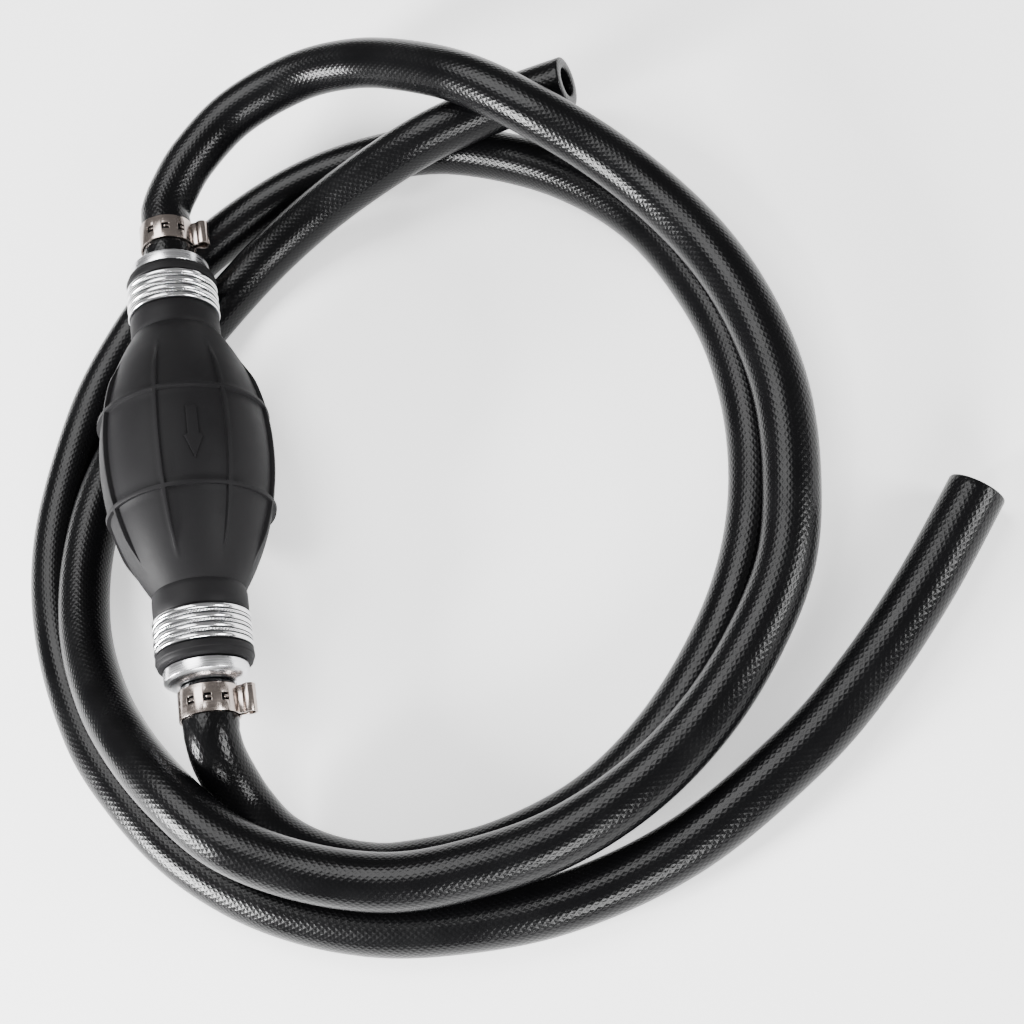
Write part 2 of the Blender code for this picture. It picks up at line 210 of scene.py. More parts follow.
SUCTION_ROUTE = (
    (0.0, 0.0843, 0.0),
    (0.0, 0.0883, 0.0),
    (0.0035, 0.096, -0.0005),
    (0.0115, 0.1065, -0.001),
    (0.027, 0.118, -0.002),
    (0.05, 0.1215, -0.001),
    (0.071, 0.115, 0.0025),
    (0.09, 0.102, 0.007),
    (0.107, 0.087, 0.01),
    (0.123, 0.0705, 0.0079),
    (0.138, 0.0545, 0.0015),
    (0.151, 0.036, -0.0035),
    (0.161, 0.0155, -0.006),
    (0.167, -0.006, -0.0075),
    (0.169, -0.029, -0.009),
    (0.166, -0.052, -0.0105),
    (0.159, -0.074, -0.011),
    (0.146, -0.093, -0.0105),
    (0.13, -0.109, -0.0095),
    (0.111, -0.1215, -0.008),
    (0.089, -0.1295, -0.007),
    (0.066, -0.132, -0.0065),
    (0.044, -0.131, -0.005),
    (0.022, -0.124, -0.0015),
    (0.0025, -0.1125, 0.0025),
    (-0.013, -0.096, 0.003),
    (-0.027, -0.078, -0.0015),
    (-0.038, -0.059, -0.007),
    (-0.045, -0.037, -0.012),
    (-0.0455, -0.014, -0.0155),
    (-0.04, 0.008, -0.018),
    (-0.03, 0.028, -0.021),
    (-0.015, 0.046, -0.0215),
    (0.002, 0.06, -0.0215),
    (0.022, 0.0725, -0.02),
    (0.043, 0.08, -0.016),
    (0.065, 0.0835, -0.0105),
    (0.088, 0.0855, -0.0058),
    (0.111, 0.0875, -0.006),
    (0.133, 0.085, -0.0035),
)

DISCHARGE_ROUTE = (
    (0.0, -0.0803, 0.0),
    (0.0, -0.0823, 0.0),
    (0.0, -0.088, -0.0025),
    (0.0005, -0.094, -0.0075),
    (0.0025, -0.101, -0.012),
    (0.008, -0.11, -0.0155),
    (0.0175, -0.1175, -0.0185),
    (0.03, -0.123, -0.0208),
    (0.043, -0.1255, -0.0215),
    (0.068, -0.126, -0.0215),
    (0.094, -0.12, -0.0215),
    (0.116, -0.107, -0.0215),
    (0.135, -0.088, -0.0215),
    (0.149, -0.066, -0.0215),
    (0.157, -0.041, -0.0215),
    (0.159, -0.014, -0.0215),
    (0.155, 0.012, -0.0215),
    (0.1425, 0.043, -0.0215),
    (0.1205, 0.0695, -0.0215),
    (0.09, 0.09, -0.0215),
    (0.064, 0.097, -0.0215),
    (0.038, 0.097, -0.0215),
    (0.012, 0.09, -0.0215),
    (-0.011, 0.078, -0.0215),
    (-0.03, 0.06, -0.0215),
    (-0.045, 0.038, -0.0215),
    (-0.0585, 0.002, -0.0215),
    (-0.06, -0.031, -0.0215),
    (-0.052, -0.064, -0.0215),
    (-0.0395, -0.087, -0.0215),
    (-0.023, -0.1075, -0.0215),
    (-0.002, -0.124, -0.0215),
    (0.022, -0.1355, -0.0215),
    (0.047, -0.1415, -0.0215),
    (0.081, -0.143, -0.0215),
    (0.116, -0.136, -0.0215),
    (0.149, -0.12, -0.0215),
    (0.17, -0.105, -0.0215),
    (0.19, -0.0865, -0.0215),
    (0.209, -0.0655, -0.0215),
)


class SiphonSizes(bpy.types.PropertyGroup):
    """Sizes of the visible details."""

    hose_bore: FloatProperty(
        name="Hose bore radius",
        description="Inner radius of the free hose",
        default=4.2 * MM,
        unit="LENGTH",
    )
    hose_sides: IntProperty(
        name="Hose sides",
        description="Points round each ring of a hose",
        default=40,
    )
    rib_height: FloatProperty(
        name="Rib height",
        description="How far the moulded ribs stand off the bulb",
        default=1.1 * MM,
        unit="LENGTH",
    )
    arrow_height: FloatProperty(
        name="Arrow height",
        description="How far the flow arrow stands off the bulb",
        default=0.6 * MM,
        unit="LENGTH",
    )
    bulb_sides: IntProperty(
        name="Bulb sides",
        description="Steps round the bulb, a multiple of the rib count with an odd rib step",
        default=120,
    )
    ferrule_sides: IntProperty(
        name="Ferrule sides",
        description="Steps round a ferrule, one for each knurl mark",
        default=104,
    )
    fitting_sides: IntProperty(
        name="Fitting sides",
        description="Steps round a turned fitting",
        default=96,
    )


class SiphonColours(bpy.types.PropertyGroup):
    """Base colours of the finishes."""

    bulb: FloatVectorProperty(
        name="Bulb rubber",
        description="Charcoal of the squeeze bulb",
        default=(0.0088, 0.0085, 0.0092),
        subtype="COLOR",
    )
    hose: FloatVectorProperty(
        name="Hose rubber",
        description="Black of the hose cover",
        default=(0.0025, 0.0025, 0.0028),
        subtype="COLOR",
    )
    ferrule: FloatVectorProperty(
        name="Ferrule metal",
        description="Bright drawn aluminium",
        default=(0.93, 0.93, 0.94),
        subtype="COLOR",
    )
    clamp: FloatVectorProperty(
        name="Clamp metal",
        description="Nickel-plated strip steel",
        default=(0.47, 0.405, 0.37),
        subtype="COLOR",
    )


class SiphonStage(bpy.types.PropertyGroup):
    """Floor, light and camera."""

    floor_colour: FloatVectorProperty(
        name="Floor",
        description="Colour of the floor",
        default=(0.93, 0.93, 0.93),
        subtype="COLOR",
    )
    lens: FloatProperty(
        name="Lens",
        description="Focal length of the camera",
        default=52.73,
        subtype="DISTANCE_CAMERA",
    )
    distance: FloatProperty(
        name="Camera distance",
        description="From the camera to the point that it aims at",
        default=429.43 * MM,
        unit="LENGTH",
    )
    azimuth: FloatProperty(
        name="Camera azimuth",
        description="Turn of the camera about the vertical",
        default=math.radians(31.497),
        subtype="ANGLE",
    )
    tilt: FloatProperty(
        name="Camera tilt",
        description="Lean of the camera from straight down",
        default=math.radians(27.715),
        subtype="ANGLE",
    )
    roll: FloatProperty(
        name="Camera roll",
        description="Turn of the camera about its own view axis",
        default=math.radians(-45.09),
        subtype="ANGLE",
    )


def sizes():
    return bpy.context.scene.siphon_sizes


def colours():
    return bpy.context.scene.siphon_colours


# ---------------------------------------------------------------- shop tools


def clear_selection():
    bpy.ops.object.select_all(action="DESELECT")


def take_hold(piece):
    """Make piece the only selected and active object."""
    clear_selection()
    piece.select_set(True)
    bpy.context.view_layer.objects.active = piece


def pick_faces(piece, wanted):
    """Select the faces whose centre and normal pass, and stay in edit mode."""
    bpy.ops.object.mode_set(mode="EDIT")
    bpy.ops.mesh.select_mode(type="FACE")
    bpy.ops.mesh.select_all(action="DESELECT")
    bpy.ops.object.mode_set(mode="OBJECT")
    for face in piece.data.polygons:
        face.select = wanted(face.center, face.normal)
    bpy.ops.object.mode_set(mode="EDIT")


def pick_points(piece, wanted):
    """Select the points that pass, and stay in edit mode."""
    bpy.ops.object.mode_set(mode="EDIT")
    bpy.ops.mesh.select_mode(type="VERT")
    bpy.ops.mesh.select_all(action="DESELECT")
    bpy.ops.object.mode_set(mode="OBJECT")
    for point in piece.data.vertices:
        point.select = wanted(point.co)
    bpy.ops.object.mode_set(mode="EDIT")


def draw_points(name, start, steps):
    """Shrink a small plane to one point and extrude a chain of points from it."""
    clear_selection()
    bpy.ops.mesh.primitive_plane_add(size=SPECK)
    piece = bpy.context.object
    piece.name = name
    piece.data.name = name
    bpy.ops.object.mode_set(mode="EDIT")
    bpy.ops.mesh.select_mode(type="VERT")
    bpy.ops.mesh.select_all(action="SELECT")
    bpy.ops.mesh.merge(type="CENTER")
    bpy.ops.transform.translate(value=start)
    for step in steps:
        bpy.ops.mesh.extrude_vertices_move(TRANSFORM_OT_translate={"value": step})
    bpy.ops.mesh.select_all(action="SELECT")
    bpy.ops.mesh.remove_doubles(threshold=WELD)
    return piece


def turn_on_lathe(name, outline, segments, first_turn=0.0):
    """Spin a closed outline of (y, radius) once round the flow axis."""
    places = [Vector((radius, y, 0.0)) for y, radius in outline]
    steps = [after - before for before, after in zip(places, places[1:] + places[:1])]
    piece = draw_points(name, places[0], steps)
    bpy.ops.mesh.select_all(action="SELECT")
    bpy.ops.mesh.spin(steps=segments, angle=FULL_TURN, center=ORIGIN, axis=FLOW_AXIS)
    bpy.ops.mesh.select_all(action="SELECT")
    bpy.ops.mesh.remove_doubles(threshold=WELD)
    bpy.ops.mesh.normals_make_consistent(inside=False)
    bpy.ops.object.mode_set(mode="OBJECT")
    if first_turn:
        piece.data.transform(Matrix.Rotation(first_turn, 4, "Y"))
    return piece


def apply_modifier(piece, kind, **settings):
    take_hold(piece)
    modifier = piece.modifiers.new(kind.title(), kind)
    for key, value in settings.items():
        setattr(modifier, key, value)
    bpy.ops.object.modifier_apply(modifier=modifier.name)


def soften(piece, width, angle=math.radians(30.0)):
    """Round the sharp edges, then shade smooth."""
    apply_modifier(
        piece,
        "BEVEL",
        width=width,
        segments=2,
        limit_method="ANGLE",
        angle_limit=angle,
        use_clamp_overlap=True,
    )
    shade(piece)


def shade(piece, angle=math.radians(40.0)):
    take_hold(piece)
    bpy.ops.object.shade_smooth_by_angle(angle=angle)


def coat(piece, *materials):
    piece.data.materials.clear()
    for material in materials:
        piece.data.materials.append(material)


def mirrored(outline, side):
    return [(side * y, radius) for y, radius in outline]


def smoothstep(low, high, value):
    ratio = min(max((value - low) / (high - low), 0.0), 1.0)
    return ratio * ratio * (3.0 - 2.0 * ratio)


# ---------------------------------------------------------------- finishes


class Finish:
    """One procedural material, with its shader and its pattern nodes."""

    def __init__(self, name):
        self.material = bpy.data.materials.new(name)
        self.material.use_nodes = True
        self.tree = self.material.node_tree
        self.shader = self.tree.nodes["Principled BSDF"]
        self.where = self.tree.nodes.new("ShaderNodeTexCoord").outputs["Object"]

    def node(self, kind, **settings):
        made = self.tree.nodes.new(kind)
        for key, value in settings.items():
            setattr(made, key, value)
        return made

    def join(self, start, end):
        self.tree.links.new(start, end)

    def stretched(self, scale):
        mapping = self.node("ShaderNodeMapping")
        mapping.inputs["Scale"].default_value = scale
        self.join(self.where, mapping.inputs["Vector"])
        return mapping.outputs["Vector"]

    def noise(self, place, scale, detail=4.0):
        texture = self.node("ShaderNodeTexNoise")
        texture.inputs["Scale"].default_value = scale
        texture.inputs["Detail"].default_value = detail
        texture.inputs["Roughness"].default_value = NOISE_ROUGHNESS
        self.join(place, texture.inputs["Vector"])
        return texture.outputs["Fac"]

    def math(self, operation, *values):
        """A math node whose values are numbers or other nodes' outputs."""
        made = self.node("ShaderNodeMath", operation=operation)
        for socket, value in zip(made.inputs, values):
            if isinstance(value, float):
                socket.default_value = value
            else:
                self.join(value, socket)
        return made.outputs[0]

    def spread(self, value, low, high, to_low, to_high):
        made = self.node("ShaderNodeMapRange")
        for socket, number in zip(made.inputs[1:5], (low, high, to_low, to_high)):
            socket.default_value = number
        self.join(value, made.inputs["Value"])
        return made.outputs["Result"]

    def between(self, noise, low, high):
        """Turn a noise into a value that wanders from low to high."""
        return self.spread(noise, NOISE_LOW, NOISE_HIGH, low, high)

    def blended(self, value, first, second):
        made = self.node("ShaderNodeMix", data_type="RGBA")
        made.inputs["A"].default_value = first
        made.inputs["B"].default_value = second
        self.join(value, made.inputs["Factor"])
        return made.outputs["Result"]

    def bump(self, height, strength, distance, under=None):
        made = self.node("ShaderNodeBump")
        made.inputs["Strength"].default_value = strength
        made.inputs["Distance"].default_value = distance
        self.join(height, made.inputs["Height"])
        if under is not None:
            self.join(under, made.inputs["Normal"])
        return made.outputs["Normal"]

    def set(self, **values):
        for key, value in values.items():
            self.shader.inputs[key.replace("_", " ")].default_value = value

    def feed(self, **links):
        for key, start in links.items():
            self.join(start, self.shader.inputs[key.replace("_", " ")])


def tone(colour, factor):
    return (*(channel * factor for channel in colour), 1.0)


def moulded_rubber(name, colour, rough, grain):
    """Matt moulded rubber with a cloudy bloom and a fine grain."""
    finish = Finish(name)
    cloud = finish.noise(finish.where, scale=90.0)
    fine = finish.noise(finish.where, scale=2600.0, detail=3.0)
    finish.feed(
        Base_Color=finish.blended(cloud, tone(colour, 0.85), tone(colour, 1.2)),
        Roughness=finish.between(cloud, rough - 0.06, rough + 0.06),
        Normal=finish.bump(fine, strength=grain, distance=0.05 * MM),
    )
    finish.set(Specular_IOR_Level=0.11)
    return finish.material


def braided_cover():
    """Glossy hose cover that shows the diamond lay of the braid under it.

    The UV map holds turns round the hose and metres along it.
    """
    finish = Finish("Hose cover over braid")
    colour = colours().hose
    split = finish.node("ShaderNodeSeparateXYZ")
    finish.join(finish.node("ShaderNodeUVMap", uv_map="lay").outputs["UV"], split.inputs[0])
    round_hose = finish.math("MULTIPLY", split.outputs["X"], STRANDS_ROUND)
    along_hose = finish.math("MULTIPLY", split.outputs["Y"], STRANDS_PER_METRE)
    strands = []
    for operation in ("ADD", "SUBTRACT"):
        phase = finish.math(operation, round_hose, along_hose)
        strands.append(finish.math("COSINE", finish.math("MULTIPLY", phase, FULL_TURN)))
    weave = finish.math("MAXIMUM", *strands)
    weave = finish.spread(weave, -1.0, 1.0, 0.0, 1.0)
    wander = finish.noise(finish.where, scale=60.0)
    fine = finish.noise(finish.where, scale=1500.0, detail=2.0)
    depth = finish.math("MULTIPLY", weave, finish.between(wander, 0.55, 1.0))
    relief = finish.bump(depth, strength=0.7, distance=0.085 * MM)
    finish.feed(
        Base_Color=finish.blended(wander, tone(colour, 0.8), tone(colour, 1.3)),
        Roughness=finish.between(wander, 0.2, 0.3),
        Normal=finish.bump(fine, strength=0.15, distance=0.03 * MM, under=relief),
    )
    finish.set(Specular_IOR_Level=0.17)
    return finish.material


def turned_metal(name, colour, rough, pitch):
    """Turned or drawn metal: fine rings round the flow axis and a faint cloudiness."""
    finish = Finish(name)
    rings = finish.noise(finish.stretched((0.02, 1.0, 0.02)), scale=pitch, detail=2.0)
    cloud = finish.noise(finish.where, scale=160.0)
    finish.feed(
        Base_Color=finish.blended(cloud, tone(colour, 0.9), tone(colour, 1.0)),
        Roughness=finish.between(rings, rough - 0.05, rough + 0.08),
        Normal=finish.bump(rings, strength=0.25, distance=0.02 * MM),
    )
    finish.set(Metallic=1.0)
    return finish.material


def plated_strip():
    """Nickel-plated strip steel, drawn along the band, a little darker in patches."""
    finish = Finish("Clamp strip, nickel plated")
    colour = colours().clamp
    drawn = finish.noise(finish.stretched((0.08, 1.0, 0.08)), scale=2400.0, detail=3.0)
    cloud = finish.noise(finish.where, scale=240.0)
    finish.feed(
        Base_Color=finish.blended(cloud, tone(colour, 0.8), tone(colour, 1.08)),
        Roughness=finish.between(drawn, 0.16, 0.28),
        Normal=finish.bump(drawn, strength=0.2, distance=0.02 * MM),
    )
    finish.set(Metallic=1.0)
    return finish.material


def moulded_plastic(name, colour, rough):
    """Hard moulded plastic with a satin face."""
    finish = Finish(name)
    cloud = finish.noise(finish.where, scale=300.0)
    fine = finish.noise(finish.where, scale=4000.0, detail=2.0)
    finish.feed(
        Base_Color=finish.blended(cloud, tone(colour, 0.92), tone(colour, 1.05)),
        Roughness=finish.between(cloud, rough - 0.05, rough + 0.05),
        Normal=finish.bump(fine, strength=0.15, distance=0.02 * MM),
    )
    finish.set(Specular_IOR_Level=0.5)
    return finish.material


# ---------------------------------------------------------------- hoses


def smooth_line(route, spacing):
    """Even places on a smooth curve through the route, which starts off straight."""
    points = [Vector(point) for point in route]
    places = [points[0]]
    last = len(points) - 1
    for i in range(1, last):
        before = points[i - 1]
        here = points[i]
        after = points[i + 1]
        beyond = points[min(i + 2, last)]
        leave = here + (after - before) / 6.0
        arrive = after - (beyond - here) / 6.0
        places += interpolate_bezier(here, leave, arrive, after, CURVE_STEPS)[:-1]
    places.append(points[last])
    places = np.array(places)
    gaps = np.linalg.norm(np.diff(places, axis=0), axis=1)
    run = np.concatenate(([0.0], np.cumsum(gaps)))
    marks = np.linspace(0.0, run[-1], round(run[-1] / spacing) + 1)
    even = [np.interp(marks, run, places[:, axis]) for axis in range(3)]
    return np.stack(even, axis=1), marks


def carried_frames(line):
    """A tangent and two cross directions at each place, carried along without twist."""
    tangents = np.gradient(line, axis=0)
    tangents /= np.linalg.norm(tangents, axis=1)[:, None]
    side = np.array((1.0, 0.0, 0.0))
    frames = []
    for tangent in tangents:
        side = side - tangent * float(side @ tangent)
        side /= np.linalg.norm(side)
        frames.append((tangent, side, np.cross(tangent, side)))
    return frames


def cover_radius(y, run, clamp_y):
    """Outer radius of the hose, a little swollen on both sides of its clamp."""
    if run > abs(clamp_y) - HOSE_START_Y + CLAMP_WIDTH:
        return HOSE_RADIUS
    off_band = abs(abs(y) - abs(clamp_y)) - CLAMP_WIDTH / 2.0
    swell = math.exp(-(((off_band - BULGE_LENGTH / 2.0) / BULGE_LENGTH) ** 2))
    return HOSE_RADIUS + BULGE_NEAR_BAND * swell


def hose_rings(line, marks, bore, barb_run, clamp_y):
    """Rings of the wall as (place on the line, shift along it, radius), and the cover's count.

    They go along the outside, over the open end and back through the bore.
    """
    last = len(line) - 1
    rings = [
        (0, 0.0, HOSE_RADIUS - EDGE_ROUNDING),
        (0, EDGE_MIDDLE, HOSE_RADIUS - EDGE_MIDDLE),
        (0, EDGE_ROUNDING, HOSE_RADIUS),
    ]
    for i in range(1, last):
        rings.append((i, 0.0, cover_radius(line[i][1], marks[i], clamp_y)))
    rings.append((last, -EDGE_ROUNDING, HOSE_RADIUS))
    rings.append((last, -EDGE_MIDDLE, HOSE_RADIUS - EDGE_MIDDLE))
    rings.append((last, 0.0, HOSE_RADIUS - EDGE_ROUNDING))
    cover_rings = len(rings)
    rings.append((last, 0.0, bore + EDGE_ROUNDING))
    rings.append((last, -EDGE_MIDDLE, bore + EDGE_MIDDLE))
    rings.append((last, -EDGE_ROUNDING, bore))
    for i in range(last - BORE_RING_EVERY, BORE_RING_EVERY - 1, -BORE_RING_EVERY):
        ease = smoothstep(barb_run, barb_run + BORE_EASE, marks[i])
        rings.append((i, 0.0, BARB_BORE + (bore - BARB_BORE) * ease))
    rings.append((0, EDGE_ROUNDING, BARB_BORE))
    rings.append((0, 0.0, BARB_BORE + EDGE_ROUNDING))
    return rings, cover_rings


def ring_faces(count, sides):
    """Faces between each ring and the next, with the last ring joined to the first."""
    faces = []
    for ring in range(count):
        here = ring * sides
        following = (ring + 1) % count * sides
        for i in range(sides):
            j = (i + 1) % sides
            faces.append((here + i, here + j, following + j, following + i))
    return faces


def map_lay(mesh, marks, sides):
    """Make the UV map of turns round the hose and metres along it."""
    corners = []
    for here, following in zip(marks, marks[1:] + marks[:1]):
        for i in range(sides):
            left = i / sides
            right = (i + 1) / sides
            corners += [left, here, right, here, right, following, left, following]
    mesh.uv_layers.new(name="lay").data.foreach_set("uv", corners)


def lay_hose(name, route, clamp_y):
    """A thick-walled tube along the route, from the barb to its open end."""
    side = math.copysign(1.0, route[0][1])
    start = (0.0, side * HOSE_START_Y, 0.0)
    line, marks = smooth_line((start, *route), RING_STEP)
    frames = carried_frames(line)
    sides = sizes().hose_sides
    barb_run = abs(route[0][1]) - HOSE_START_Y
    rings, cover_rings = hose_rings(line, marks, sizes().hose_bore, barb_run, clamp_y)
    turns = np.linspace(0.0, FULL_TURN, sides, endpoint=False)
    points = []
    for i, shift, radius in rings:
        tangent, across, up = frames[i]
        centre = line[i] + tangent * shift
        ring = centre + radius * (np.outer(np.cos(turns), across) + np.outer(np.sin(turns), up))
        points.append(ring)
    mesh = bpy.data.meshes.new(name)
    mesh.from_pydata(np.concatenate(points).tolist(), [], ring_faces(len(rings), sides))
    hose = bpy.data.objects.new(name, mesh)
    bpy.context.scene.collection.objects.link(hose)
    map_lay(mesh, [float(marks[i] + shift) for i, shift, radius in rings], sides)
    wall_start = (cover_rings - 1) * sides
    slots = [int(face >= wall_start) for face in range(len(mesh.polygons))]
    mesh.polygons.foreach_set("material_index", slots)
    take_hold(hose)
    bpy.ops.object.mode_set(mode="EDIT")
    bpy.ops.mesh.select_all(action="SELECT")
    bpy.ops.mesh.normals_make_consistent(inside=False)
    bpy.ops.object.mode_set(mode="OBJECT")
    shade(hose, angle=math.radians(60.0))
    return hose, line, float(marks[-1])


class SIPHON_OT_hoses(bpy.types.Operator):
    """Lay the two braided hoses along their routes"""

    bl_idname = "siphon.hoses"
    bl_label = "Hoses"

    def execute(self, context):
        cover = braided_cover()
        inside = moulded_rubber("Hose wall and bore", HOSE_WALL_BLACK, rough=0.5, grain=0.3)
        for which, route, clamp_y in (
            ("suction", SUCTION_ROUTE, SUCTION_CLAMP_Y),
            ("discharge", DISCHARGE_ROUTE, DISCHARGE_CLAMP_Y),
        ):
            hose, line, length = lay_hose(which + "_hose_braided", route, clamp_y)
            coat(hose, cover, inside)
            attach(hose, "siphon")
            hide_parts(which + "_hose", which + "_hose_cuff")
        return {"FINISHED"}


# ---------------------------------------------------------------- squeeze bulb


def belly_radius(y):
    ratio = min(abs(y) / CREASE_Y, 1.0)
    return NECK_RADIUS + (BULB_RADIUS - NECK_RADIUS) * (1.0 - ratio**BULGE_POWER)


def bulb_outline():
    """Closed outline of the bulb: rows over the belly, two necks, lips and the cavity."""
    half = RIB_WIDTH / 2.0
    rows = list(np.linspace(-RING_RIB_Y + half, RING_RIB_Y - half, BELLY_ROWS + 1))
    upper = list(np.linspace(RING_RIB_Y + half, RIB_END_Y, RIM_ROWS + 1))
    rows = [-y for y in reversed(upper)] + rows + upper
    rows = [y + RIB_MIDDLE_Y for y in rows]
    for side in (-1.0, 1.0):
        start = side * RIB_END_Y + RIB_MIDDLE_Y
        rows += list(np.linspace(start, side * CREASE_Y, SHOULDER_ROWS + 1))[1:]
    rows.sort()
    outer = [(y, belly_radius(y)) for y in rows]
    end = [(y * MM, NECK_RADIUS + off * MM) for y, off in NECK_ROWS]
    end.append((NECK_ROWS[-1][0] * MM, CRIMPED_RADIUS))
    end.append((LIP_ROWS[0][0] * MM, CRIMPED_RADIUS))
    end += [(y * MM, LIP_RADIUS + off * MM) for y, off in LIP_ROWS]
    end.append((LIP_ROWS[-1][0] * MM, NECK_BORE))
    end.append((NECK_BORE_START_Y, NECK_BORE))
    cavity = np.linspace(-CAVITY_END_Y, CAVITY_END_Y, CAVITY_ROWS)
    inner = [(y, max(belly_radius(y) - BULB_WALL, NECK_BORE)) for y in cavity]
    return mirrored(end, -1.0)[::-1] + outer + end + inner[::-1]


def raise_ribs(bulb):
    """Inset the faces under the ribs, lift them, and let the long ribs fade out."""
    rib_turn = FULL_TURN / RIB_COUNT
    reach = RIB_HALF_STEPS * FULL_TURN / sizes().bulb_sides

    def under_rib(centre, normal):
        off_middle = abs(centre.y - RIB_MIDDLE_Y)
        if off_middle > RIB_END_Y:
            return False
        if math.hypot(centre.x, centre.z) < belly_radius(centre.y) - BULB_WALL / 2.0:
            return False
        if abs(off_middle - RING_RIB_Y) < RIB_WIDTH / 2.0:
            return True
        turn = math.atan2(centre.x, centre.z) - RIB_TURN
        return abs(turn - round(turn / rib_turn) * rib_turn) < reach

    pick_faces(bulb, under_rib)
    bpy.ops.mesh.inset(
        thickness=RIB_SIDE,
        depth=sizes().rib_height,
        use_boundary=True,
        use_even_offset=True,
    )
    bpy.ops.object.mode_set(mode="OBJECT")
    for point in bulb.data.vertices:
        radius = math.hypot(point.co.x, point.co.z)
        base = belly_radius(point.co.y)
        off_end = RIB_END_Y - abs(point.co.y - RIB_MIDDLE_Y)
        if off_end < -RIB_WIDTH or radius < base:
            continue
        fade = smoothstep(0.0, RIB_FADE_LENGTH, off_end)
        wanted = base + (radius - base) * fade
        point.co.x *= wanted / radius
        point.co.z *= wanted / radius


def arrow_half_width(along):
    """Half width of the flow arrow, along from its tail: a straight shaft, then the head."""
    if along < SHAFT_LENGTH:
        return SHAFT_HALF_WIDTH
    share = (ARROW_LENGTH - along) / (ARROW_LENGTH - SHAFT_LENGTH)
    return max(HEAD_HALF_WIDTH * share, TIP_HALF_WIDTH)


def build_arrow():
    """Low flow arrow that points at the outlet, wrapped on one panel of the belly."""
    clear_selection()
    bpy.ops.mesh.primitive_grid_add(x_subdivisions=8, y_subdivisions=34, size=1.0)
    arrow = bpy.context.object
    arrow.name = "flow_arrow"
    panel_turn = RIB_TURN + FULL_TURN / RIB_COUNT / 2.0
    for point in arrow.data.vertices:
        along = (0.5 - point.co.y) * ARROW_LENGTH
        across = point.co.x * 2.0 * arrow_half_width(along)
        y = ARROW_TAIL_Y - along
        radius = belly_radius(y) + sizes().arrow_height
        turn = panel_turn + across / radius
        point.co = (radius * math.sin(turn), y, radius * math.cos(turn))
    apply_modifier(arrow, "SOLIDIFY", thickness=ARROW_THICKNESS, offset=-1.0)
    bpy.ops.object.mode_set(mode="EDIT")
    bpy.ops.mesh.select_all(action="SELECT")
    bpy.ops.mesh.normals_make_consistent(inside=False)
    bpy.ops.object.mode_set(mode="OBJECT")
    return arrow


class SIPHON_OT_bulb(bpy.types.Operator):
    """Mould the squeeze bulb with its ribs, flow arrow, necks and lips"""

    bl_idname = "siphon.bulb"
    bl_label = "Squeeze bulb"

    def execute(self, context):
        sides = sizes().bulb_sides
        first_turn = RIB_TURN + FULL_TURN / sides / 2.0
        bulb = turn_on_lathe("squeeze_bulb_moulded", bulb_outline(), sides, first_turn)
        raise_ribs(bulb)
        arrow = build_arrow()
        take_hold(bulb)
        arrow.select_set(True)
        bpy.ops.object.join()
        soften(bulb, width=0.09 * MM)
        rubber = moulded_rubber("Bulb rubber, moulded", colours().bulb, rough=0.56, grain=0.35)
        coat(bulb, rubber)
        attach(bulb, "siphon")
        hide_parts("squeeze_bulb")
        return {"FINISHED"}


# ---------------------------------------------------------------- ferrules


def ferrule_outline():
    """Outline of rounded ridges with knurled rows between them, and where those rows lie."""
    outline = [(FERRULE_START_Y, FERRULE_BORE)]
    ridge_height = FERRULE_RIDGE_RADIUS - FERRULE_VALLEY_RADIUS
    y = FERRULE_START_Y
    rows = []
    for ridge in range(RIDGES):
        for part, rise in RIDGE_PROFILE:
            outline.append((y + RIDGE_WIDTH * part, FERRULE_VALLEY_RADIUS + ridge_height * rise))
        y += RIDGE_WIDTH
        outline.append((y, FERRULE_VALLEY_RADIUS))
        if ridge < RIDGES - 1:
            y += VALLEY_WIDTH
            outline.append((y, FERRULE_VALLEY_RADIUS))
            outline.append((y, FERRULE_KNURL_RADIUS))
            rows.append((y, y + KNURL_WIDTH))
            y += KNURL_WIDTH
            outline.append((y, FERRULE_KNURL_RADIUS))
            outline.append((y, FERRULE_VALLEY_RADIUS))
            y += VALLEY_WIDTH
    outline.append((y, FERRULE_BORE))
    return outline, rows


def roll_knurl(ferrule, side, rows, sides):
    """Skew each knurled row by one step and sink a mark into each of its faces."""
    for low, high in rows:
        middle = (low + high) / 2.0
        pick_points(ferrule, lambda place: side * place.y > middle)
        bpy.ops.transform.rotate(
            value=FULL_TURN / sides,
            orient_axis="Y",
            orient_type="GLOBAL",
            center_override=ORIGIN,
        )
        bpy.ops.object.mode_set(mode="OBJECT")
        pick_faces(
            ferrule,
            lambda centre, normal: low < side * centre.y < high
            and math.hypot(centre.x, centre.z) > FERRULE_VALLEY_RADIUS,
        )
        bpy.ops.mesh.inset(
            thickness=KNURL_EDGE,
            depth=-KNURL_DEPTH,
            use_individual=True,
            use_even_offset=True,
        )
        bpy.ops.object.mode_set(mode="OBJECT")


